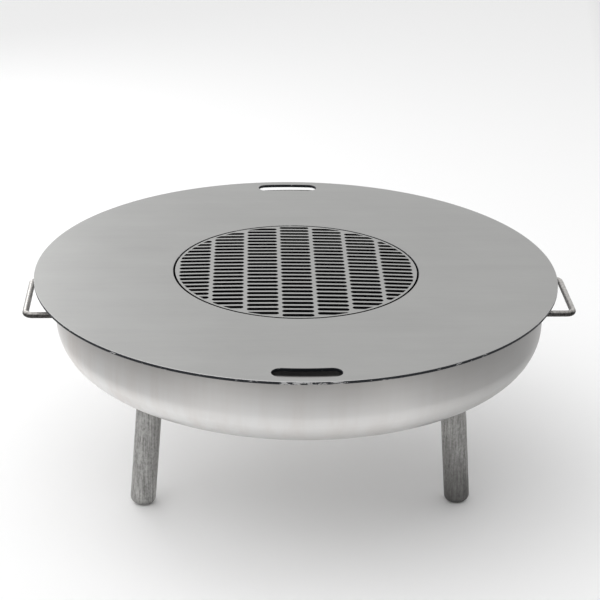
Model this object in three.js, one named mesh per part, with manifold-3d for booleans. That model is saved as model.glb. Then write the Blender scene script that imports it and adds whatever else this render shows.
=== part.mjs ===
// Fire pit: a spun steel bowl on three tube legs, with a loose hot plate and a slotted grate.
// Millimetres, +Z up. The object stands on z = 0 with the bowl's axis on Z, its two handles
// on the X axis and the plate's two hand slots on the Y axis.
import Module from 'manifold-3d';
import * as THREE from 'three';
import { mergeVertices } from 'three/addons/utils/BufferGeometryUtils.js';

const wasm = await Module();
wasm.setup();

const degrees = THREE.MathUtils.degToRad;

// Gaps between pieces
const SEAT_GAP = 0.3; // between faces that touch or are welded together
const THREAD_GAP = 0.3; // between a bolt and its tapped hole
const MESH_STEP = 1e-4; // vertices closer than this are one vertex

// Hot plate, lying loose on the bowl's rim
const PLATE_TOP = 408;
const PLATE_RADIUS = 500;
const PLATE_THICKNESS = 6;
const PLATE_HOLE_RADIUS = 235.5;
const PLATE_OVERHANG = 32.5; // from the bowl's wall out to the plate's edge
const PLATE_DRIFT = 7; // how far the loose plate lies off the bowl's axis, towards -X
const HAND_SLOT_LENGTH = 122; // tip to tip, along the arc
const HAND_SLOT_WIDTH = 35;

// Lugs under the plate that keep it centred inside the rim
const LUG_AZIMUTHS = [45, 135, 225, 315];
const LUG_PLAY = 8;
const LUG_THICKNESS = 5;
const LUG_WIDTH = 40;
const LUG_HEIGHT = 20;

// Tabs under the plate that carry the grate
const TAB_AZIMUTHS = [45, 135, 225, 315];
const TAB_REACH = 16; // inwards, past the edge of the hole
const TAB_LAP = 24; // outwards, under the plate
const TAB_WIDTH = 30;
const TAB_THICKNESS = 4;

// Grate, dropped into the plate's hole
const GRATE_PLAY = 3;
const GRATE_THICKNESS = 6;
const GRATE_CROWN = 3.7; // rise of the middle above the edge
const GRATE_TURN = -1.2; // degrees
const GRATE_RIM = 5.5; // solid ring around the slots
const SLOT_LENGTH = 58;
const SLOT_WIDTH = 10.5;
const SLOT_COLUMN_PITCH = 64.7;
const SLOT_ROW_PITCH = 17.65;

// Bowl: a straight wall, a rounded knuckle and a shallow crown
const BOWL_WALL = 3;
const BOWL_STRAIGHT = 75.5; // height of the straight wall
const KNUCKLE_RADIUS = 74;
const CROWN_RADIUS = 935;
const DRAIN_RADIUS = 6;

// Legs
const LEG_AZIMUTHS = { front_right: -30, rear: 90, front_left: 210 };
const LEG_RADIUS = 24.15;
const LEG_WALL = 2.6;
const LEG_SPLAY = 5; // degrees outwards from upright
const LEG_INSET = 119; // from the bowl's wall in to the middle of a foot
const CAP_FILLET = 14;
const CAP_HEIGHT = 17;
const CAP_BASE = 5;

// Leg fastenings: a bolt through the bowl into a tapped disc welded in the tube
const HEAD_THICKNESS = 8;
const BOLT_RADIUS = 6;
const BOLT_HEAD_FLATS = 18;
const BOLT_HEAD_HEIGHT = 7.5;
const BOLT_TIP = 4; // past the disc
const BOLT_HOLE_PLAY = 0.5;
const WASHER_RADIUS = 12;
const WASHER_THICKNESS = 2.5;

// Handles
const HANDLE_ROD_RADIUS = 6;
const HANDLE_LENGTH = 170; // between the middles of its two arms
const HANDLE_REACH = 53; // from the bowl's wall out to the middle of the grip
const HANDLE_DROP = 51; // from the rim down to the rod
const HANDLE_BEND = 14;

// Facets
const BOWL_SEGMENTS = 60;
const CROWN_STEPS = 7;
const KNUCKLE_STEPS = 6;
const PLATE_SEGMENTS = 96;
const TUBE_SEGMENTS = 24;
const BOLT_SEGMENTS = 12;
const ROD_SEGMENTS = 10;
const FILLET_STEPS = 3;
const SLOT_TIP_STEPS = 3;
const HAND_SLOT_ARC_STEPS = 4;
const HAND_SLOT_TIP_STEPS = 6;
const HANDLE_STEPS = 36;

// Places that follow from the sizes above
const plateUnder = PLATE_TOP - PLATE_THICKNESS;
const rimTop = plateUnder - SEAT_GAP;
const bowlRadius = PLATE_RADIUS - PLATE_OVERHANG;
const knuckleRadial = bowlRadius - KNUCKLE_RADIUS;
const knuckleHeight = rimTop - BOWL_STRAIGHT;
const crownReach = CROWN_RADIUS - KNUCKLE_RADIUS;
const crownAngle = Math.asin(knuckleRadial / crownReach);
const crownHeight = knuckleHeight + crownReach * Math.cos(crownAngle);
const footRadial = bowlRadius - LEG_INSET;
const facetRise = CROWN_RADIUS * (1 - Math.cos(crownAngle / CROWN_STEPS / 2)); // facets off the true crown
const washerBase = BOWL_WALL + 1.5 * facetRise + SEAT_GAP; // clears the bowl's facets and curve
const grateRadius = PLATE_HOLE_RADIUS - GRATE_PLAY;

const plateSteel = { color: 0xb4b6b8, roughness: 0.42, metalness: 0.9 };
const spunSteel = { color: 0xa8a5a0, roughness: 0.5, metalness: 0.85 };
const rawSteel = { color: 0x74726e, roughness: 0.6, metalness: 0.8 };
const boltSteel = { color: 0x9b9c9e, roughness: 0.45, metalness: 0.9 };

// --- Helpers ---

function solidFrom(geometry) {
  const bare = geometry.index ? geometry.toNonIndexed() : geometry.clone();
  bare.deleteAttribute('normal');
  bare.deleteAttribute('uv');
  const merged = mergeVertices(bare, MESH_STEP);
  const corners = merged.index.array;
  const kept = [];
  for (let i = 0; i < corners.length; i += 3) {
    const [a, b, c] = [corners[i], corners[i + 1], corners[i + 2]];
    if (a !== b && b !== c && c !== a) kept.push(a, b, c);
  }
  const mesh = new wasm.Mesh({
    numProp: 3,
    vertProperties: new Float32Array(merged.attributes.position.array),
    triVerts: new Uint32Array(kept),
  });
  return new wasm.Manifold(mesh);
}

function geometryFrom(solid) {
  const mesh = solid.getMesh();
  const geometry = new THREE.BufferGeometry();
  geometry.setAttribute('position', new THREE.BufferAttribute(new Float32Array(mesh.vertProperties), 3));
  geometry.setIndex(new THREE.BufferAttribute(new Uint32Array(mesh.triVerts), 1));
  const faceted = geometry.toNonIndexed();
  faceted.computeVertexNormals();
  return faceted;
}

function named(name, solid, look) {
  const mesh = new THREE.Mesh(geometryFrom(solid), new THREE.MeshStandardMaterial(look));
  mesh.name = name;
  return mesh;
}

// Points on an arc about `centre`, both ends included.
function arc(centre, radius, start, end, steps) {
  const points = [];
  for (let i = 0; i <= steps; i += 1) {
    const angle = start + ((end - start) * i) / steps;
    points.push(new THREE.Vector2(centre.x + radius * Math.cos(angle), centre.y + radius * Math.sin(angle)));
  }
  return points;
}

function circle(radius, segments) {
  return arc(new THREE.Vector2(), radius, 0, 2 * Math.PI, segments).slice(0, -1);
}

// An upright prism from z = 0 upwards.
function prism(outline, height, holes = []) {
  const shape = new THREE.Shape(outline);
  shape.holes = holes.map((hole) => new THREE.Path(hole));
  return new THREE.ExtrudeGeometry(shape, { depth: height, bevelEnabled: false });
}

function rod(radius, height, segments) {
  return prism(circle(radius, segments), height);
}

// A turned body about +Z. The profile's x is the radius and its y the height.
function turned(profile, segments) {
  return new THREE.LatheGeometry(profile, segments).rotateX(Math.PI / 2);
}

// --- Bowl ---

// The bowl's outer curve moved outwards by `offset`, from the axis up to the rim.
function bowlCurve(offset) {
  const crown = arc(
    new THREE.Vector2(0, crownHeight),
    CROWN_RADIUS + offset,
    -Math.PI / 2,
    -Math.PI / 2 + crownAngle,
    CROWN_STEPS,
  );
  crown[0].x = 0;
  const knuckle = arc(
    new THREE.Vector2(knuckleRadial, knuckleHeight),
    KNUCKLE_RADIUS + offset,
    -Math.PI / 2 + crownAngle,
    0,
    KNUCKLE_STEPS,
  );
  return [...crown, ...knuckle.slice(1), new THREE.Vector2(bowlRadius + offset, rimTop)];
}

// What the bowl fills, hollow included, grown by the gap that neighbours keep.
function bowlClearance() {
  return solidFrom(turned([...bowlCurve(SEAT_GAP), new THREE.Vector2(0, rimTop)], BOWL_SEGMENTS));
}

// Where a leg's axis meets the bowl, in the upright plane through that leg.
function legAxisOnBowl() {
  const splay = degrees(LEG_SPLAY);
  const axis = new THREE.Ray(
    new THREE.Vector3(footRadial, 0, 0),
    new THREE.Vector3(-Math.sin(splay), 0, Math.cos(splay)),
  );
  const crown = new THREE.Sphere(new THREE.Vector3(0, 0, crownHeight), CROWN_RADIUS);
  return axis.intersectSphere(crown, new THREE.Vector3());
}

// The frame of a leg's bolt: on the bowl's outer face, with +Z into the bowl.
function boltFrame() {
  const point = legAxisOnBowl();
  const lean = Math.atan2(point.x, crownHeight - point.z);
  return new THREE.Matrix4().makeRotationY(-lean).setPosition(point);
}

function fireBowl() {
  const shell = solidFrom(turned([...bowlCurve(0), ...bowlCurve(-BOWL_WALL).reverse()], BOWL_SEGMENTS));
  const drain = rod(DRAIN_RADIUS, rimTop, BOLT_SEGMENTS);
  const cuts = Object.values(LEG_AZIMUTHS).map((azimuth) => {
    const hole = rod(BOLT_RADIUS + BOLT_HOLE_PLAY, 4 * BOWL_WALL, BOLT_SEGMENTS);
    hole.translate(0, 0, -BOWL_WALL).applyMatrix4(boltFrame()).rotateZ(degrees(azimuth));
    return solidFrom(hole);
  });
  return named('fire_bowl', shell.subtract(solidFrom(drain)).subtract(wasm.Manifold.union(cuts)), spunSteel);
}

// --- Legs ---

// The frame of a leg: on the ground at its foot, with +Z up along the tube.
function legFrame() {
  const lean = new THREE.Matrix4().makeRotationY(-degrees(LEG_SPLAY));
  return lean.setPosition(new THREE.Vector3(footRadial, 0, 0));
}

function legTube() {
  const blank = prism(circle(LEG_RADIUS, TUBE_SEGMENTS), knuckleHeight, [
    circle(LEG_RADIUS - LEG_WALL, TUBE_SEGMENTS),
  ]);
  blank.translate(0, 0, CAP_HEIGHT + SEAT_GAP).applyMatrix4(legFrame());
  return solidFrom(blank).subtract(bowlClearance());
}

// The pressed cap that closes a leg, ground level where it stands.
function footCap() {
  const flat = LEG_RADIUS - CAP_FILLET;
  const inner = CAP_FILLET - LEG_WALL;
  const sink = flat * Math.sin(degrees(LEG_SPLAY));
  const outside = arc(new THREE.Vector2(flat, CAP_FILLET), CAP_FILLET, -Math.PI / 2, 0, FILLET_STEPS);
  const inside = arc(new THREE.Vector2(flat, CAP_BASE + inner), inner, 0, -Math.PI / 2, FILLET_STEPS);
  const profile = [
    new THREE.Vector2(0, 0),
    ...outside,
    new THREE.Vector2(LEG_RADIUS, CAP_HEIGHT + sink),
    new THREE.Vector2(LEG_RADIUS - LEG_WALL, CAP_HEIGHT + sink),
    ...inside,
    new THREE.Vector2(0, CAP_BASE),
  ];
  const cap = turned(profile, TUBE_SEGMENTS);
  cap.translate(0, 0, -sink).applyMatrix4(legFrame());
  const ground = new THREE.BoxGeometry(4 * LEG_RADIUS, 4 * LEG_RADIUS, CAP_HEIGHT);
  ground.translate(footRadial, 0, -CAP_HEIGHT / 2);
  return solidFrom(cap).subtract(solidFrom(ground));
}

// The tapped disc in a leg's upper end, square to the bolt, trimmed to the bore and to the bowl.
function legHead() {
  const bore = rod(LEG_RADIUS - LEG_WALL - SEAT_GAP, PLATE_TOP, TUBE_SEGMENTS).applyMatrix4(legFrame());
  const slab = rod(2 * LEG_RADIUS, HEAD_THICKNESS + 2 * facetRise, TUBE_SEGMENTS);
  slab.translate(0, 0, -HEAD_THICKNESS).applyMatrix4(boltFrame());
  const thread = rod(BOLT_RADIUS + THREAD_GAP, 4 * HEAD_THICKNESS, BOLT_SEGMENTS);
  thread.translate(0, 0, -3 * HEAD_THICKNESS).applyMatrix4(boltFrame());
  const disc = solidFrom(slab).intersect(solidFrom(bore)).subtract(solidFrom(thread));
  return disc.subtract(bowlClearance());
}

function legWasher() {
  const hole = circle(BOLT_RADIUS + BOLT_HOLE_PLAY, BOLT_SEGMENTS);
  const washer = prism(circle(WASHER_RADIUS, BOLT_SEGMENTS), WASHER_THICKNESS, [hole]);
  return solidFrom(washer.translate(0, 0, washerBase).applyMatrix4(boltFrame()));
}

function legBolt() {
  const under = washerBase + WASHER_THICKNESS + SEAT_GAP;
  const tip = -HEAD_THICKNESS - BOLT_TIP;
  const shank = rod(BOLT_RADIUS, under - tip + BOLT_HEAD_HEIGHT / 2, BOLT_SEGMENTS).translate(0, 0, tip);
  const head = rod(BOLT_HEAD_FLATS / Math.sqrt(3), BOLT_HEAD_HEIGHT, 6).translate(0, 0, under);
  return solidFrom(shank.applyMatrix4(boltFrame())).add(solidFrom(head.applyMatrix4(boltFrame())));
}

function leg(name, azimuth) {
  const group = new THREE.Group();
  group.rotation.z = degrees(azimuth);
  group.add(
    named(`leg_tube_${name}`, legTube(), rawSteel),
    named(`foot_cap_${name}`, footCap(), rawSteel),
    named(`leg_head_${name}`, legHead(), rawSteel),
    named(`leg_washer_${name}`, legWasher(), boltSteel),
    named(`leg_bolt_${name}`, legBolt(), boltSteel),
  );
  return group;
}

// --- Handles ---

// A U bent from round rod, its two ends welded to the bowl's wall.
function handle(name, azimuth) {
  const half = HANDLE_LENGTH / 2;
  const grip = bowlRadius + HANDLE_REACH;
  const start = Math.sqrt(bowlRadius ** 2 - half ** 2) - 2 * BOWL_WALL; // inside the wall, then trimmed
  const corner = (side) => new THREE.Vector3(grip, side * half, 0);
  const before = (side) => new THREE.Vector3(grip - HANDLE_BEND, side * half, 0);
  const after = (side) => new THREE.Vector3(grip, side * (half - HANDLE_BEND), 0);
  const path = new THREE.CurvePath();
  path.add(new THREE.LineCurve3(new THREE.Vector3(start, -half, 0), before(-1)));
  path.add(new THREE.QuadraticBezierCurve3(before(-1), corner(-1), after(-1)));
  path.add(new THREE.LineCurve3(after(-1), after(1)));
  path.add(new THREE.QuadraticBezierCurve3(after(1), corner(1), before(1)));
  path.add(new THREE.LineCurve3(before(1), new THREE.Vector3(start, half, 0)));
  const section = new THREE.Shape(circle(HANDLE_ROD_RADIUS, ROD_SEGMENTS));
  const bent = new THREE.ExtrudeGeometry(section, { steps: HANDLE_STEPS, extrudePath: path });
  bent.translate(0, 0, rimTop - HANDLE_DROP);
  const mesh = named(name, solidFrom(bent).subtract(bowlClearance()), rawSteel);
  mesh.rotation.z = degrees(azimuth);
  return mesh;
}

// --- Hot plate ---

// A slot bent along the rim, with full round ends, centred on the given azimuth.
function handSlot(azimuth) {
  const middle = bowlRadius - BOWL_WALL;
  const half = HAND_SLOT_WIDTH / 2;
  const sweep = (HAND_SLOT_LENGTH / 2 - half) / middle;
  const from = degrees(azimuth) - sweep;
  const to = degrees(azimuth) + sweep;
  const origin = new THREE.Vector2();
  const tip = (angle) => new THREE.Vector2(middle * Math.cos(angle), middle * Math.sin(angle));
  return [
    ...arc(origin, middle + half, from, to, HAND_SLOT_ARC_STEPS),
    ...arc(tip(to), half, to, to + Math.PI, HAND_SLOT_TIP_STEPS).slice(1),
    ...arc(origin, middle - half, to, from, HAND_SLOT_ARC_STEPS).slice(1),
    ...arc(tip(from), half, from + Math.PI, from + 2 * Math.PI, HAND_SLOT_TIP_STEPS).slice(1, -1),
  ];
}

function planchaPlate() {
  const holes = [circle(PLATE_HOLE_RADIUS, BOWL_SEGMENTS), handSlot(90), handSlot(270)];
  const ring = prism(circle(PLATE_RADIUS, PLATE_SEGMENTS), PLATE_THICKNESS, holes);
  return named('plancha_plate', solidFrom(ring.translate(0, 0, plateUnder)), plateSteel);
}

// A small flat bar under the plate, between two radii.
function underBar(name, azimuth, inner, outer, width, height) {
  const bar = new THREE.BoxGeometry(outer - inner, width, height);
  bar.translate((inner + outer) / 2, 0, plateUnder - SEAT_GAP - height / 2);
  const mesh = named(name, solidFrom(bar), rawSteel);
  mesh.rotation.z = degrees(azimuth);
  return mesh;
}

function plateLug(azimuth, index) {
  const outer = bowlRadius - BOWL_WALL - LUG_PLAY;
  return underBar(`plate_lug_${index + 1}`, azimuth, outer - LUG_THICKNESS, outer, LUG_WIDTH, LUG_HEIGHT);
}

function grateTab(azimuth, index) {
  const inner = PLATE_HOLE_RADIUS - TAB_REACH;
  const outer = PLATE_HOLE_RADIUS + TAB_LAP;
  return underBar(`grate_tab_${index + 1}`, azimuth, inner, outer, TAB_WIDTH, TAB_THICKNESS);
}

// --- Grate ---

function grateSlot(x, y) {
  const half = SLOT_WIDTH / 2;
  const reach = SLOT_LENGTH / 2 - half;
  const outline = [
    ...arc(new THREE.Vector2(x + reach, y), half, -Math.PI / 2, Math.PI / 2, SLOT_TIP_STEPS),
    ...arc(new THREE.Vector2(x - reach, y), half, Math.PI / 2, (3 * Math.PI) / 2, SLOT_TIP_STEPS),
  ];
  return solidFrom(prism(outline, 3 * GRATE_THICKNESS).translate(0, 0, -GRATE_THICKNESS));
}

// Slots in columns. Every other column is shifted by half a row, and a slot is cut
// where the nearest point of its centre line is well inside the rim.
function grateSlots() {
  const field = grateRadius - GRATE_RIM;
  const columns = Math.ceil(field / SLOT_COLUMN_PITCH);
  const rows = Math.ceil(field / SLOT_ROW_PITCH);
  const slots = [];
  for (let column = -columns; column <= columns; column += 1) {
    const shift = column % 2 === 0 ? 0.5 : 0;
    const x = column * SLOT_COLUMN_PITCH;
    for (let row = -rows; row <= rows; row += 1) {
      const y = (row + shift) * SLOT_ROW_PITCH;
      const nearest = Math.hypot(Math.max(0, Math.abs(x) - SLOT_LENGTH / 2), y);
      if (nearest < field - SLOT_WIDTH / 2) slots.push(grateSlot(x, y));
    }
  }
  const limit = rod(field, 3 * GRATE_THICKNESS, BOWL_SEGMENTS).translate(0, 0, -GRATE_THICKNESS);
  return wasm.Manifold.union(slots).intersect(solidFrom(limit));
}

function cookingGrate() {
  const disc = solidFrom(rod(grateRadius, GRATE_THICKNESS, BOWL_SEGMENTS)).subtract(grateSlots());
  const grate = named('cooking_grate', disc, plateSteel);
  const points = grate.geometry.attributes.position;
  for (let i = 0; i < points.count; i += 1) {
    const share = Math.hypot(points.getX(i), points.getY(i)) / grateRadius;
    points.setZ(i, points.getZ(i) + GRATE_CROWN * (1 - share * share));
  }
  grate.geometry.computeVertexNormals();
  grate.position.z = PLATE_TOP - GRATE_THICKNESS;
  grate.rotation.z = degrees(GRATE_TURN);
  return grate;
}

// --- Assembly ---

// The plate and all that lies on it or hangs under it.
function loosePlate() {
  const group = new THREE.Group();
  group.position.x = -PLATE_DRIFT;
  group.add(planchaPlate());
  LUG_AZIMUTHS.forEach((azimuth, index) => group.add(plateLug(azimuth, index)));
  TAB_AZIMUTHS.forEach((azimuth, index) => group.add(grateTab(azimuth, index)));
  group.add(cookingGrate());
  return group;
}

const firePit = new THREE.Group();
firePit.add(fireBowl());
Object.entries(LEG_AZIMUTHS).forEach(([name, azimuth]) => firePit.add(leg(name, azimuth)));
firePit.add(handle('handle_right', 0), handle('handle_left', 180));
firePit.add(loosePlate());

export default firePit;
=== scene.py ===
import math

import bmesh
import bpy
from mathutils import Matrix, Vector, geometry, noise


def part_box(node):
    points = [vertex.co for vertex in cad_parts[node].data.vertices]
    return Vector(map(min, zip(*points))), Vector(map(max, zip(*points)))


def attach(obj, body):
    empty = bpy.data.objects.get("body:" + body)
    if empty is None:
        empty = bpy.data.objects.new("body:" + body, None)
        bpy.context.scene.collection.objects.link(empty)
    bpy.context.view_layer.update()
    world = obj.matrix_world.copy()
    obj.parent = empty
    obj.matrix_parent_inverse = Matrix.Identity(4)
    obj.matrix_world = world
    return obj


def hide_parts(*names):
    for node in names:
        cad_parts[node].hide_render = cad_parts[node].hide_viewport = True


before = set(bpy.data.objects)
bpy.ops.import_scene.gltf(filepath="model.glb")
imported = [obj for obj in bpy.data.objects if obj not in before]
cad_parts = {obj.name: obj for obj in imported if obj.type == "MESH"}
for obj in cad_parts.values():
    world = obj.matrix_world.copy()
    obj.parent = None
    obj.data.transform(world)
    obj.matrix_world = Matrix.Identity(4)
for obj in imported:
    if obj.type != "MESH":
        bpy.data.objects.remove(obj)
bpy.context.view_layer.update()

MM = 0.001

# --- Fire bowl ---
# The bowl is spun from 3 mm sheet: a shallow crown, a rounded knuckle and a short straight wall.
# It is left bare, so the spinning tool's fine rings show all round it.

bowl_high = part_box("fire_bowl")[1]
bowl_radius = bowl_high.x
wall = 3 * MM
straight_height = 75.5 * MM
knuckle_radius = 74 * MM
crown_radius = 935 * MM
drain_radius = 6 * MM
knuckle_radial = bowl_radius - knuckle_radius
knuckle_height = bowl_high.z - straight_height
crown_reach = crown_radius - knuckle_radius
crown_angle = math.asin(knuckle_radial / crown_reach)
crown_height = knuckle_height + crown_reach * math.cos(crown_angle)


class Value:
    """A socket in a finish's nodes, so that shader maths is written as sums."""

    def __init__(self, finish, socket):
        self.finish = finish
        self.socket = socket

    def worked(self, operation, *terms):
        return self.finish.node("ShaderNodeMath", {"operation": operation}, dict(enumerate(terms)))

    def __add__(self, other):
        return self.worked("ADD", self, other)

    def __sub__(self, other):
        return self.worked("SUBTRACT", self, other)

    def __rsub__(self, other):
        return self.worked("SUBTRACT", other, self)

    def __mul__(self, other):
        return self.worked("MULTIPLY", self, other)

    def __pow__(self, other):
        return self.worked("POWER", self, other)

    __radd__ = __add__
    __rmul__ = __mul__

    def between(self, low, high):
        """0 at low and below, 1 at high and above."""
        limits = {"From Min": low, "From Max": high}
        return self.finish.node("ShaderNodeMapRange", {"clamp": True}, {"Value": self, **limits})


class Finish:
    """A surface finish: one material and the nodes that vary it."""

    def __init__(self, name, **sockets):
        self.material = bpy.data.materials.new(name)
        self.material.use_nodes = True
        self.tree = self.material.node_tree
        self.shader = self.tree.nodes["Principled BSDF"]
        self.place = self.node("ShaderNodeTexCoord", output="Object")
        self.surface(**sockets)

    def node(self, kind, settings=None, inputs=None, output=0):
        made = self.tree.nodes.new(kind)
        for key, setting in (settings or {}).items():
            setattr(made, key, setting)
        for key, value in (inputs or {}).items():
            self.feed(made.inputs[key], value)
        return Value(self, made.outputs[output])

    def feed(self, socket, value):
        if isinstance(value, Value):
            self.tree.links.new(value.socket, socket)
        else:
            socket.default_value = value

    def surface(self, **sockets):
        for key, value in sockets.items():
            self.feed(self.shader.inputs[key.replace("_", " ").title().replace("Ior", "IOR")], value)

    def grain(self, stretch, detail=2.0, roughness=0.5, at=None):
        """Noise from 0 to 1 with that many cells to the metre along X, Y and Z."""
        spread = self.node("ShaderNodeMapping", inputs={"Vector": at or self.place, "Scale": stretch})
        sizes = {"Vector": spread, "Scale": 1.0, "Detail": detail, "Roughness": roughness}
        return self.node("ShaderNodeTexNoise", inputs=sizes)

    def coordinate(self, axis):
        """How far along X, Y or Z the place is."""
        split = self.node("ShaderNodeSeparateXYZ", inputs={0: self.place})
        return Value(self, split.socket.node.outputs[axis])

    def mix(self, share, first, second):
        ends = {0: share, 6: first, 7: second}
        return self.node("ShaderNodeMix", {"data_type": "RGBA"}, ends, output=2)

    def relief(self, height, depth, strength=1.0):
        """Bumps of the given depth in metres fed to the surface's normal."""
        sizes = {"Height": height, "Distance": depth, "Strength": strength}
        self.surface(Normal=self.node("ShaderNodeBump", inputs=sizes))


def round_place(finish):
    """Distance from the Z axis, height, and nothing: a place that is the same all the way round."""
    east, north = finish.coordinate("X"), finish.coordinate("Y")
    out = (east * east + north * north) ** 0.5
    return finish.node("ShaderNodeCombineXYZ", inputs={0: out, 1: finish.coordinate("Z"), 2: 0.0})


rim_shade_depth = 100 * MM  # how far the painted shade under the plate reaches down the wall below the rim
side_shade_from = 0.35 * bowl_radius  # where painted shade starts darkening the wall, towards +X
stained_to = 0.9 * bowl_radius  # where the stains are strongest, towards -X


def spun_steel():
    """Fine rings from the spinning, stained at one side, with painted shade on the other side and in a band
    under the rim.
    """
    finish = Finish("spun_steel", Metallic=1.0)
    rings = finish.grain((900.0, 900.0, 1.0), 3.0, at=round_place(finish))
    arcs = finish.grain((200.0, 260.0, 1.0), 2.0, at=round_place(finish))
    clouds = finish.grain((5.0, 5.0, 9.0), 4.0)
    stain = finish.grain((2.2, 2.2, 3.0), 3.0).between(0.42, 0.75)
    light = finish.mix(clouds * 0.75 + arcs * 0.25, (0.7, 0.697, 0.69, 1.0), (0.84, 0.837, 0.83, 1.0))
    runs = finish.grain((30.0, 30.0, 2.5), 3.0, 0.6).between(0.42, 0.72)
    west = (0.0 - finish.coordinate("X")).between(0.0, stained_to)
    stained = finish.mix((stain * 0.4 + runs * 0.4) * (0.4 + west * 0.6), light, (0.6, 0.53, 0.48, 1.0))
    # painted shade: darker towards the rim, under the plate's overhang
    rim_shade = finish.coordinate("Z").between(bowl_high.z - rim_shade_depth, bowl_high.z) * (0.62 + clouds * 0.5)
    with_rim_shade = finish.mix(rim_shade, stained, (0.3, 0.288, 0.278, 1.0))
    # painted shade: darker towards +X, the side the light falls away from
    side_shade = finish.coordinate("X").between(side_shade_from, bowl_radius) * (0.9 + clouds * 0.4)
    colour = finish.mix(side_shade, with_rim_shade, (0.35, 0.345, 0.34, 1.0))
    finish.surface(Base_Color=colour, Roughness=0.3 + clouds * 0.08 + rings * 0.03)
    finish.relief(rings * 0.7 + arcs * 0.3, 0.012 * MM, 0.5)
    return finish


def shaded_interior():
    """Painted shade inside the bowl: a near-black colour for the unlit inside and the rim's top."""
    finish = Finish("shaded_interior", Metallic=0.7)
    clouds = finish.grain((9.0, 9.0, 14.0), 5.0)
    colour = finish.mix(clouds.between(0.3, 0.7), (0.05, 0.05, 0.052, 1.0), (0.11, 0.108, 0.105, 1.0))
    finish.surface(Base_Color=colour, Roughness=0.55 + clouds * 0.2)
    return finish


smooth_below = math.radians(32)  # the sharpest turn between faces that is shaded as a curve


def made_piece(name, shape, body, finishes, nodes):
    mesh = bpy.data.meshes.new(name)
    shape.to_mesh(mesh)
    shape.free()
    mesh.shade_smooth()
    mesh.set_sharp_from_angle(angle=smooth_below)
    for finish in finishes:
        mesh.materials.append(finish.material)
    piece = bpy.data.objects.new(name, mesh)
    bpy.context.scene.collection.objects.link(piece)
    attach(piece, body)
    if nodes:
        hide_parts(*nodes)
    return piece


def swept(shape, geom, centre, axis, angle, steps):
    """Spins geometry part of the way round, and gives back what the sweep ends on."""
    turn = {"cent": centre, "axis": axis, "angle": angle, "steps": steps}
    return bmesh.ops.spin(shape, geom=geom, **turn)["geom_last"]


def whole_turn(shape, steps):
    """Spins an outline in the X-Z plane all the way round Z and closes its seam."""
    outline = shape.verts[:] + shape.edges[:]
    turn = {"cent": (0, 0, 0), "axis": (0, 0, 1), "angle": 2 * math.pi, "steps": steps}
    bmesh.ops.spin(shape, geom=outline, use_merge=True, **turn)
    bmesh.ops.remove_doubles(shape, verts=shape.verts, dist=0.001 * MM)
    bmesh.ops.recalc_face_normals(shape, faces=shape.faces)


bowl = bmesh.new()
drain_angle = math.asin(drain_radius / crown_radius)
crown_middle = Vector((0, 0, crown_height))
edge_of_drain = crown_middle + crown_radius * Vector((math.sin(drain_angle), 0, -math.cos(drain_angle)))
end = [bowl.verts.new(edge_of_drain)]
end = swept(bowl, end, crown_middle, (0, -1, 0), crown_angle - drain_angle, 28)
end = swept(bowl, end, (knuckle_radial, 0, knuckle_height), (0, -1, 0), math.pi / 2 - crown_angle, 16)
rim = bmesh.ops.extrude_vert_indiv(bowl, verts=[v for v in end if isinstance(v, bmesh.types.BMVert)])
bmesh.ops.translate(bowl, verts=rim["verts"], vec=(0, 0, straight_height))
whole_turn(bowl, 144)
outside = bowl.faces[:]
bmesh.ops.solidify(bowl, geom=outside, thickness=wall)
# The inside faces and the rim's top take the painted shade.
for face in bowl.faces:
    middle = face.calc_center_median()
    if face.normal.dot(crown_middle - middle) > 0 or middle.z > bowl_high.z - wall / 10:
        face.material_index = 1
made_piece("spun_bowl", bowl, "bowl_on_legs", [spun_steel(), shaded_interior()], ["fire_bowl"])

# --- Legs ---
# Each leg is a length of raw drawn tube, 48.3 mm across, with its upper end cut to the bowl's curve.
# A pressed cap closes its lower end. Both are left dull, and the right-hand leg carries painted shade at its
# foot.

leg_radius = 24.15 * MM
leg_wall = 2.6 * MM
leg_splay = math.radians(5)
leg_azimuths = {"front_right": -30, "rear": 90, "front_left": 210}
foot_radial = bowl_radius - 119 * MM
foot_sink = 0.885 * MM
cap_fillet = 14 * MM
cap_height = 17 * MM
seat_gap = 0.3 * MM
foot_shade_height = 150 * MM  # how far up the painted shade on the right-hand leg reaches
foot_shade_from = foot_radial / 2  # east of the middle, where the painted shade is full


def raw_tube_steel():
    finish = Finish("raw_tube_steel", Metallic=0.9)
    streaks = finish.grain((320.0, 320.0, 14.0), 4.0, 0.6)
    mottle = finish.grain((240.0, 240.0, 150.0), 6.0, 0.7)
    patches = finish.grain((26.0, 26.0, 14.0), 4.0).between(0.35, 0.7)
    tone = streaks * 0.5 + mottle * 0.5
    base = finish.mix(tone.between(0.36, 0.64), (0.16, 0.157, 0.152, 1.0), (0.62, 0.615, 0.6, 1.0))
    colour = finish.mix(patches * 0.45, base, (0.27, 0.265, 0.255, 1.0))
    # painted shade: the right-hand leg darkens towards its foot
    low = (foot_shade_height - finish.coordinate("Z")).between(0.0, foot_shade_height)
    foot_shade = finish.coordinate("X").between(0.0, foot_shade_from) * low
    colour = finish.mix(foot_shade * 0.75, colour, (0.07, 0.068, 0.066, 1.0))
    finish.surface(Base_Color=colour, Roughness=0.4 + mottle * 0.25)
    finish.relief(streaks * 0.3 + mottle * 0.7, 0.08 * MM, 0.5)
    return finish


def leg_frame(azimuth):
    """On the ground at a foot, with Z up along the tube and X away from the middle."""
    turn = Matrix.Rotation(math.radians(azimuth), 4, "Z")
    return turn @ Matrix.Translation((foot_radial, 0, 0)) @ Matrix.Rotation(-leg_splay, 4, "Y")


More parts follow.
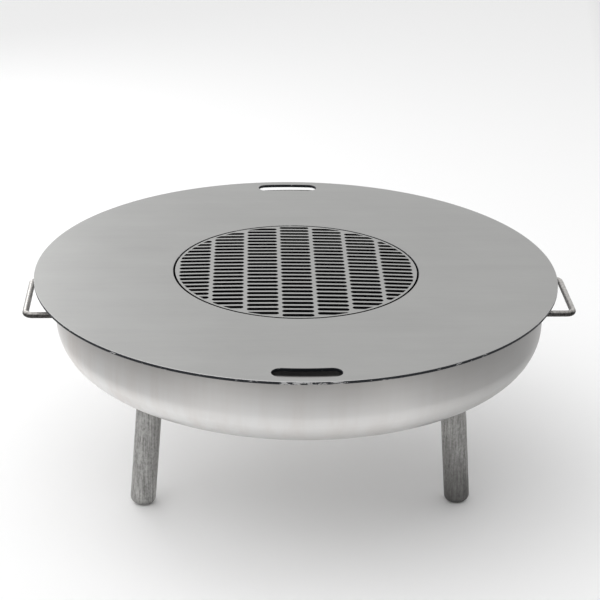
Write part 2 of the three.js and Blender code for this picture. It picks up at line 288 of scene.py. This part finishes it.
leg_finish = raw_tube_steel()
for name, azimuth in leg_azimuths.items():
    tube = bmesh.new()
    bmesh.ops.create_circle(tube, cap_ends=False, radius=leg_radius, segments=64)
    bmesh.ops.translate(tube, verts=tube.verts, vec=(0, 0, cap_height + seat_gap))
    top = bmesh.ops.extrude_edge_only(tube, edges=tube.edges[:])["geom"]
    top = [v for v in top if isinstance(v, bmesh.types.BMVert)]
    bmesh.ops.translate(tube, verts=top, vec=(0, 0, cap_height))
    frame_of_leg = leg_frame(azimuth)
    bmesh.ops.transform(tube, matrix=frame_of_leg, verts=tube.verts)
    along = frame_of_leg.to_3x3() @ Vector((0, 0, 1))
    for corner in top:
        hit = geometry.intersect_line_sphere(corner.co, corner.co + along, crown_middle, crown_radius, False)
        corner.co = min(hit, key=lambda point: point.z) - along * seat_gap
    bmesh.ops.recalc_face_normals(tube, faces=tube.faces)
    bmesh.ops.solidify(tube, geom=tube.faces[:], thickness=leg_wall)
    made_piece(f"tube_{name}", tube, "bowl_on_legs", [leg_finish], [f"leg_tube_{name}"])

    cap = bmesh.new()
    flat = leg_radius - cap_fillet
    end = [cap.verts.new((0, 0, 0))]
    end = bmesh.ops.extrude_vert_indiv(cap, verts=end)["verts"]
    bmesh.ops.translate(cap, verts=end, vec=(flat, 0, 0))
    end = swept(cap, end, (flat, 0, cap_fillet), (0, -1, 0), math.pi / 2, 10)
    end = bmesh.ops.extrude_vert_indiv(cap, verts=[v for v in end if isinstance(v, bmesh.types.BMVert)])
    bmesh.ops.translate(cap, verts=end["verts"], vec=(0, 0, cap_height + foot_sink - cap_fillet))
    end = bmesh.ops.extrude_vert_indiv(cap, verts=end["verts"])["verts"]
    bmesh.ops.translate(cap, verts=end, vec=(-leg_radius, 0, 0))
    whole_turn(cap, 64)
    bmesh.ops.translate(cap, verts=cap.verts, vec=(0, 0, -foot_sink))
    bmesh.ops.transform(cap, matrix=frame_of_leg, verts=cap.verts)
    ground = {"plane_co": (0, 0, 0), "plane_no": (0, 0, -1), "clear_outer": True}
    cut = bmesh.ops.bisect_plane(cap, geom=cap.verts[:] + cap.edges[:] + cap.faces[:], **ground)["geom_cut"]
    bmesh.ops.contextual_create(cap, geom=[e for e in cut if isinstance(e, bmesh.types.BMEdge)])
    bmesh.ops.recalc_face_normals(cap, faces=cap.faces)
    made_piece(f"cap_{name}", cap, "bowl_on_legs", [leg_finish], [f"foot_cap_{name}"])

# --- Leg fastenings ---
# An M12 bolt comes down through the bowl into a tapped disc that is welded in each leg's upper end.
# The bolts and their washers are zinc-plated, and the discs are raw steel.


def zinc_plate():
    finish = Finish("zinc_plate", Metallic=1.0)
    spangle = finish.grain((300.0, 300.0, 300.0), 3.0)
    colour = finish.mix(spangle, (0.5, 0.51, 0.53, 1.0), (0.66, 0.66, 0.65, 1.0))
    finish.surface(Base_Color=colour, Roughness=0.3 + spangle * 0.2)
    return finish


zinc = zinc_plate()
for name in leg_azimuths:
    for part, finish in (("head", leg_finish), ("washer", zinc), ("bolt", zinc)):
        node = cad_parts[f"leg_{part}_{name}"]
        node.data.materials.clear()
        node.data.materials.append(finish.material)

# --- Handles ---
# Each handle is a U bent cold from 12 mm round bar, and its two ends are welded to the bowl's wall.
# The bar keeps its dark mill scale, with a painted highlight of lighter steel colour along its upper side.

handle_low, handle_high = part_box("handle_right")
rod_radius = (handle_high.z - handle_low.z) / 2
handle_bend = 14 * MM
grip_out = handle_high.x - rod_radius
grip_half = handle_high.y - rod_radius
handle_z = (handle_high.z + handle_low.z) / 2
weld_radius = 3 * MM
weld_ripple = 0.16  # how uneven the bead is, as a share of its size
ripples_to_metre = 420


def highlit_bar():
    finish = Finish("bright_bar", Metallic=1.0)
    streaks = finish.grain((90.0, 90.0, 90.0), 4.0, 0.6)
    scuffs = finish.grain((260.0, 260.0, 260.0), 4.0, 0.7)
    # painted highlight: the colour turns lighter along the bar's upper side
    above = finish.coordinate("Z") - handle_z + (streaks - 0.5) * rod_radius
    top_highlight = above.between(0.3 * rod_radius, 0.85 * rod_radius)
    scale = finish.mix(scuffs.between(0.35, 0.7), (0.025, 0.024, 0.023, 1.0), (0.12, 0.115, 0.11, 1.0))
    bare_and_highlight = finish.mix(scuffs.between(0.3, 0.7), (0.2, 0.19, 0.182, 1.0), (0.55, 0.535, 0.515, 1.0))
    finish.surface(Base_Color=finish.mix(top_highlight, scale, bare_and_highlight), Roughness=0.28 + scuffs * 0.14)
    finish.relief(scuffs, 0.04 * MM, 0.5)
    return finish


def weld_metal():
    finish = Finish("weld_metal", Metallic=0.9)
    ripples = finish.grain((500.0, 500.0, 500.0), 3.0)
    colour = finish.mix(ripples, (0.1, 0.095, 0.09, 1.0), (0.32, 0.3, 0.28, 1.0))
    finish.surface(Base_Color=colour, Roughness=0.4 + ripples * 0.25)
    finish.relief(ripples, 0.2 * MM, 0.7)
    return finish


def only(kind, geom):
    return [part for part in geom if isinstance(part, kind)]


def run_on(shape, edges, vec):
    """Draws an open ring of edges out along a straight, and gives back its far end."""
    made = bmesh.ops.extrude_edge_only(shape, edges=edges)["geom"]
    bmesh.ops.translate(shape, verts=only(bmesh.types.BMVert, made), vec=vec)
    return only(bmesh.types.BMEdge, made)


bar_finish = highlit_bar()
weld_finish = weld_metal()
for name, side in (("right", 1), ("left", -1)):
    bar = bmesh.new()
    bmesh.ops.create_circle(bar, cap_ends=False, radius=rod_radius, segments=24)
    bmesh.ops.rotate(bar, verts=bar.verts, cent=(0, 0, 0), matrix=Matrix.Rotation(math.pi / 2, 3, "Y"))
    root = math.sqrt(bowl_radius**2 - grip_half**2)
    bmesh.ops.translate(bar, verts=bar.verts, vec=(root, -grip_half, 0))
    bend_x, bend_y = grip_out - handle_bend, grip_half - handle_bend
    end = run_on(bar, bar.edges[:], (bend_x - root, 0, 0))
    for bend_side, straight in ((-1, (0, 2 * bend_y, 0)), (1, (root - bend_x, 0, 0))):
        ring = list(dict.fromkeys(end + [v for e in end for v in e.verts]))
        bent = swept(bar, ring, (bend_x, bend_side * bend_y, 0), (0, 0, 1), math.pi / 2, 8)
        end = run_on(bar, only(bmesh.types.BMEdge, bent), straight)
    bmesh.ops.remove_doubles(bar, verts=bar.verts, dist=0.001 * MM)
    bmesh.ops.holes_fill(bar, edges=bar.edges, sides=0)
    bmesh.ops.recalc_face_normals(bar, faces=bar.faces)
    place = Matrix.Translation((0, 0, handle_z)) @ Matrix.Rotation(0 if side > 0 else math.pi, 4, "Z")
    bmesh.ops.transform(bar, matrix=place, verts=bar.verts)
    made_piece(f"bar_{name}", bar, "bowl_on_legs", [bar_finish], [f"handle_{name}"])

    weld = bmesh.new()
    for end_side in (-1, 1):
        bead = bmesh.ops.create_circle(weld, cap_ends=False, radius=weld_radius, segments=10)["verts"]
        bmesh.ops.rotate(weld, verts=bead, cent=(0, 0, 0), matrix=Matrix.Rotation(math.pi / 2, 3, "Z"))
        bmesh.ops.translate(weld, verts=bead, vec=(0, rod_radius + weld_radius / 3, 0))
        edges = list(dict.fromkeys(e for v in bead for e in v.link_edges))
        whole = {"cent": (0, 0, 0), "axis": (1, 0, 0), "angle": 2 * math.pi, "steps": 44, "use_merge": True}
        bmesh.ops.spin(weld, geom=bead + edges, **whole)
        for corner in [v for v in weld.verts if abs(v.co.y) < 4 * rod_radius]:
            seed = Vector((side, end_side, 0)) * 7
            ripple = 1 + weld_ripple * noise.noise(corner.co * ripples_to_metre + seed)
            across = end_side * grip_half + corner.co.y * ripple
            wall_at = math.sqrt(bowl_radius**2 - across**2)
            corner.co = (wall_at + corner.co.x * ripple, across, corner.co.z * ripple)
    bmesh.ops.remove_doubles(weld, verts=weld.verts, dist=0.001 * MM)
    bmesh.ops.recalc_face_normals(weld, faces=weld.faces)
    bmesh.ops.transform(weld, matrix=place, verts=weld.verts)
    made_piece(f"weld_{name}", weld, "bowl_on_legs", [weld_finish], [])

# --- Hot plate ---
# The plate is a flat ring cut from 6 mm sheet, finely brushed in straight lines across its whole face.
# Two hand slots straddle the bowl's rim, and the cut edges keep a blue-black scale.

plate_low, plate_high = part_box("plancha_plate")
plate_radius = (plate_high.x - plate_low.x) / 2
plate_middle = (plate_high + plate_low) / 2
plate_thickness = plate_high.z - plate_low.z
hole_radius = 235.5 * MM
slot_length = 122 * MM
slot_width = 35 * MM
slot_middle = bowl_radius - wall
plate_broken_edge = 0.7 * MM
rubbed_half = 70 * MM  # half the length of the front edge that hands have rubbed bare
rubbed_fade = 20 * MM


def brushed_sheet(name):
    """Hair-fine lines along X, with faint bands and clouds."""
    finish = Finish(name, Metallic=1.0)
    hair = finish.grain((12.0, 2400.0, 1.0), 2.0, 0.6)
    bands = finish.grain((1.2, 26.0, 1.0), 3.0, 0.5)
    clouds = finish.grain((5.0, 7.0, 5.0), 5.0, 0.6)
    tone = hair * 0.35 + bands * 0.2 + clouds * 0.45
    colour = finish.mix(tone.between(0.3, 0.7), (0.295, 0.295, 0.29, 1.0), (0.36, 0.36, 0.354, 1.0))
    finish.surface(Base_Color=colour, Roughness=0.42 + clouds * 0.08)
    finish.relief(hair, 0.015 * MM, 0.3)
    return finish


def cut_scale(name, bare_share, front_wear=0.0):
    """A flame-cut edge: blue-black scale, worn through to bare steel here and there, and in front; a large
    bare share paints a highlight along a corner.
    """
    finish = Finish(name)
    wear_and_highlight_grain = finish.grain((60.0, 60.0, 200.0), 5.0, 0.7)
    across, along = finish.coordinate("X"), finish.coordinate("Y")
    near_edge = (0.0 - along).between(plate_radius - 40 * MM, plate_radius - 15 * MM)
    in_front = near_edge * (rubbed_half - (across * across) ** 0.5).between(0.0, rubbed_fade)
    bare_threshold = 0.62 - bare_share
    bare_and_highlight = (wear_and_highlight_grain + in_front * front_wear).between(bare_threshold, bare_threshold + 0.04)
    colour = finish.mix(bare_and_highlight, (0.016, 0.018, 0.022, 1.0), (0.5, 0.5, 0.5, 1.0))
    finish.surface(Base_Color=colour, Metallic=0.5 + bare_and_highlight * 0.5, Roughness=0.42 + wear_and_highlight_grain * 0.2)
    return finish


flat_above = 0.95  # the least upright part of a flat face's normal
side_below = 0.2  # the most upright part of a cut side's normal


def sheet_from_outlines(shape, thickness, top, broken_edge):
    """Fills the outlines as one sheet with its holes open, breaks its edges and gives it thickness."""
    bmesh.ops.triangle_fill(shape, use_beauty=True, edges=shape.edges[:])
    bmesh.ops.recalc_face_normals(shape, faces=shape.faces)
    if sum(face.normal.z for face in shape.faces) < 0:
        bmesh.ops.reverse_faces(shape, faces=shape.faces)
    border = {"use_boundary": True, "use_even_offset": True, "thickness": broken_edge, "depth": 0.0}
    bmesh.ops.inset_region(shape, faces=shape.faces[:], **border)
    bmesh.ops.translate(shape, verts=shape.verts, vec=(0, 0, thickness / 2))
    edge = [v for v in shape.verts if v.is_boundary]
    bmesh.ops.translate(shape, verts=edge, vec=(0, 0, -broken_edge))
    sides = bmesh.ops.extrude_edge_only(shape, edges=[e for e in shape.edges if e.is_boundary])["geom"]
    for corner in only(bmesh.types.BMVert, sides):
        corner.co.z = 0
    every = shape.verts[:] + shape.edges[:] + shape.faces[:]
    bmesh.ops.mirror(shape, geom=every, matrix=Matrix(), merge_dist=0.001 * MM, axis="Z")
    bmesh.ops.recalc_face_normals(shape, faces=shape.faces)
    bmesh.ops.translate(shape, verts=shape.verts, vec=(0, 0, top - thickness / 2))
    for face in shape.faces:
        upright = abs(face.normal.z)
        face.material_index = 0 if upright > flat_above else 1 if upright < side_below else 2


def round_ended(shape, length, width, segments):
    """An upright slot's outline at the middle, along X, with full round ends."""
    step = 2 * math.pi / segments
    ring = bmesh.ops.create_circle(shape, cap_ends=False, radius=width / 2, segments=segments)["verts"]
    turn = Matrix.Rotation(step / 2, 3, "Z")
    bmesh.ops.rotate(shape, verts=ring, cent=(0, 0, 0), matrix=turn)
    bmesh.ops.scale(shape, verts=ring, vec=(1, 1 / math.cos(step / 2), 1))
    reach = (length - width) / 2
    for corner in ring:
        corner.co.x += math.copysign(reach, corner.co.x)
    return ring


plate = bmesh.new()
bmesh.ops.create_circle(plate, cap_ends=False, radius=plate_radius, segments=288)
bmesh.ops.create_circle(plate, cap_ends=False, radius=hole_radius, segments=192)
for azimuth in (90, 270):
    ring = round_ended(plate, slot_length, slot_width, 40)
    long_sides = [e for v in ring for e in v.link_edges if e.calc_length() > slot_width]
    bmesh.ops.subdivide_edges(plate, edges=list(dict.fromkeys(long_sides)), cuts=10)
    for corner in [v for v in plate.verts if v.co.length < slot_length]:
        angle = math.radians(azimuth) + corner.co.x / slot_middle
        out = slot_middle + corner.co.y
        corner.co = (out * math.cos(angle), out * math.sin(angle), 0)
sheet_from_outlines(plate, plate_thickness, plate_high.z, plate_broken_edge)
for face in plate.faces:  # only the rim's upper outer corner gets the painted highlight: the others keep their scale
    inside = face.calc_center_median().xy.length < plate_radius - slot_width / 4
    if face.material_index == 2 and (inside or face.normal.z < 0):
        face.material_index = 1
bmesh.ops.translate(plate, verts=plate.verts, vec=(plate_middle.x, plate_middle.y, 0))
# The second finish paints a highlight of bare steel along the rim's upper corner.
plate_edge = [cut_scale("cut_scale", 0.0, 0.13), cut_scale("highlit_corner", 0.4)]
sheet_finishes = [brushed_sheet("brushed_plate"), *plate_edge]
made_piece("hot_plate_ring", plate, "hot_plate", sheet_finishes, ["plancha_plate"])

# --- Plate lugs and grate tabs ---
# Short flat bars welded under the plate: four lugs keep it centred inside the rim, and four tabs
# reach in under the hole and carry the grate.


def raw_flat_bar():
    finish = Finish("raw_flat_bar", Metallic=0.8)
    scale = finish.grain((120.0, 120.0, 120.0), 5.0, 0.65)
    colour = finish.mix(scale.between(0.3, 0.7), (0.06, 0.06, 0.062, 1.0), (0.17, 0.165, 0.16, 1.0))
    finish.surface(Base_Color=colour, Roughness=0.45 + scale * 0.25)
    return finish


flat_bar = raw_flat_bar()
for index in range(1, 5):
    for node_name in (f"plate_lug_{index}", f"grate_tab_{index}"):
        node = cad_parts[node_name]
        node.data.materials.clear()
        node.data.materials.append(flat_bar.material)

# --- Grate ---
# The grate is a disc of the plate's own sheet with rows of laser-cut slots, every other column of
# them shifted by half a row. The cutting's heat has left it slightly domed.

grate_low, grate_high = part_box("cooking_grate")
grate_radius = (grate_high.x - grate_low.x) / 2
grate_crown = 3.7 * MM
grate_turn = math.radians(-1.2)
grate_rim = 5.5 * MM
grate_broken_edge = 0.45 * MM
grate_slot = 58 * MM
grate_slot_width = 10.5 * MM
column_pitch = 64.7 * MM
row_pitch = 17.65 * MM


def shaded_slot(name):
    """Painted shade inside the slots: a matt near-black colour on their cut walls and broken edges."""
    finish = Finish(name, Specular_IOR_Level=0.05)
    shade_noise = finish.grain((150.0, 150.0, 300.0), 3.0)
    colour = finish.mix(shade_noise, (0.003, 0.003, 0.003, 1.0), (0.008, 0.008, 0.009, 1.0))
    finish.surface(Base_Color=colour, Roughness=0.6 + shade_noise * 0.2)
    return finish


grate = bmesh.new()
bmesh.ops.create_circle(grate, cap_ends=False, radius=grate_radius, segments=192)
field = grate_radius - grate_rim
columns = math.ceil(field / column_pitch)
rows = math.ceil(field / row_pitch)
for column in range(-columns, columns + 1):
    for row in range(-rows, rows + 1):
        x = column * column_pitch
        y = (row + (0.5 if column % 2 == 0 else 0)) * row_pitch
        nearest = math.hypot(max(0, abs(x) - grate_slot / 2), y)
        if nearest > field - grate_slot_width / 2:
            continue
        ring = round_ended(grate, grate_slot, grate_slot_width, 16)
        bmesh.ops.translate(grate, verts=ring, vec=(x, y, 0))
        for corner in ring:
            limit = math.sqrt(field**2 - corner.co.y**2)
            corner.co.x = max(-limit, min(limit, corner.co.x))
sheet_from_outlines(grate, grate_high.z - grate_low.z - grate_crown, plate_high.z, grate_broken_edge)
for corner in grate.verts:
    corner.co.z += grate_crown * (1 - (corner.co.xy.length / grate_radius) ** 2)
bmesh.ops.rotate(grate, verts=grate.verts, cent=(0, 0, 0), matrix=Matrix.Rotation(grate_turn, 3, "Z"))
bmesh.ops.translate(grate, verts=grate.verts, vec=(plate_middle.x, plate_middle.y, 0))
sheet_finishes = [brushed_sheet("brushed_grate"), shaded_slot("shaded_slot"), shaded_slot("shaded_slot_corner")]
made_piece("slotted_grate", grate, "grate", sheet_finishes, ["cooking_grate"])

# --- Studio ---
# A pale floor, soft light from above and from behind at the left, light from all round, and the camera.
# The bowl mirrors the floor in front of it and at its sides, so the floor is painted greyer out there:
# painted shade standing for the darker studio beyond.

floor_half = 20
side_near, side_far = 0.7, 1.05  # where the greyer floor starts and is full, at the sides
front_near, front_far = 0.9, 1.4  # and in front
side_slant = 0.15


def pale_floor():
    """Matt paper, pale round the object, with painted shade making it greyer well in front of it and out to
    its sides.
    """
    finish = Finish("pale_floor", Roughness=0.7)
    across, along = finish.coordinate("X"), finish.coordinate("Y")
    side = ((across * across) ** 0.5 - along * side_slant).between(side_near, side_far)
    front = (0.0 - along).between(front_near, front_far)
    painted_falloff = finish.node("ShaderNodeMath", {"operation": "MAXIMUM"}, {0: side, 1: front})
    finish.surface(Base_Color=finish.mix(painted_falloff, (0.93, 0.93, 0.93, 1.0), (0.53, 0.53, 0.53, 1.0)))
    return finish


floor_shape = bmesh.new()
bmesh.ops.create_grid(floor_shape, x_segments=1, y_segments=1, size=floor_half)
floor_mesh = bpy.data.meshes.new("studio_floor")
floor_shape.to_mesh(floor_mesh)
floor_shape.free()
floor_mesh.materials.append(pale_floor().material)
floor = bpy.data.objects.new("studio_floor", floor_mesh)
bpy.context.scene.collection.objects.link(floor)


class Surroundings(Finish):
    """The light that comes from all round, set out by the direction that it comes from."""

    def __init__(self, name):
        self.world = bpy.data.worlds.new(name)
        self.world.use_nodes = True
        self.tree = self.world.node_tree
        self.shader = self.tree.nodes["Background"]
        self.place = self.node("ShaderNodeTexCoord", output="Generated")


studio = Surroundings("studio")
from_back = studio.coordinate("Y").between(-0.3, 0.7)
from_left = (0.0 - studio.coordinate("X")).between(0.0, 0.9)
studio.surface(Color=(1.0, 1.0, 1.0, 1.0), Strength=0.37 + from_back * 0.78 + from_left * 0.55)
bpy.context.scene.world = studio.world


def soft_box(name, size, power, place, aim):
    light = bpy.data.lights.new(name, "AREA")
    light.shape = "RECTANGLE"
    light.size, light.size_y = size
    light.energy = power
    lamp = bpy.data.objects.new(name, light)
    lamp.location = place
    lamp.rotation_euler = (Vector(aim) - Vector(place)).to_track_quat("-Z", "Y").to_euler()
    bpy.context.scene.collection.objects.link(lamp)


soft_box("overhead_box", (4.5, 4.0), 66, (-0.7, -1.3, 3.6), (-0.2, 0.2, 0.2))
soft_box("left_box", (1.2, 1.0), 11, (-1.4, 2.3, 1.5), (-0.5, 0.0, 0.35))

camera_lens = bpy.data.cameras.new("camera")
camera_lens.lens = 113.9
camera_lens.sensor_width = 36
camera = bpy.data.objects.new("camera", camera_lens)
heading = math.radians(-2.8)
pitch = math.radians(23.14)
roll = math.radians(0.95)
camera.matrix_world = (
    Matrix.Translation((-0.1636, -3.375, 1.788))
    @ Matrix.Rotation(heading, 4, "Z")
    @ Matrix.Rotation(math.pi / 2 - pitch, 4, "X")
    @ Matrix.Rotation(roll, 4, "Z")
)
bpy.context.scene.collection.objects.link(camera)
bpy.context.scene.camera = camera
bpy.context.scene.view_settings.view_transform = "Standard"
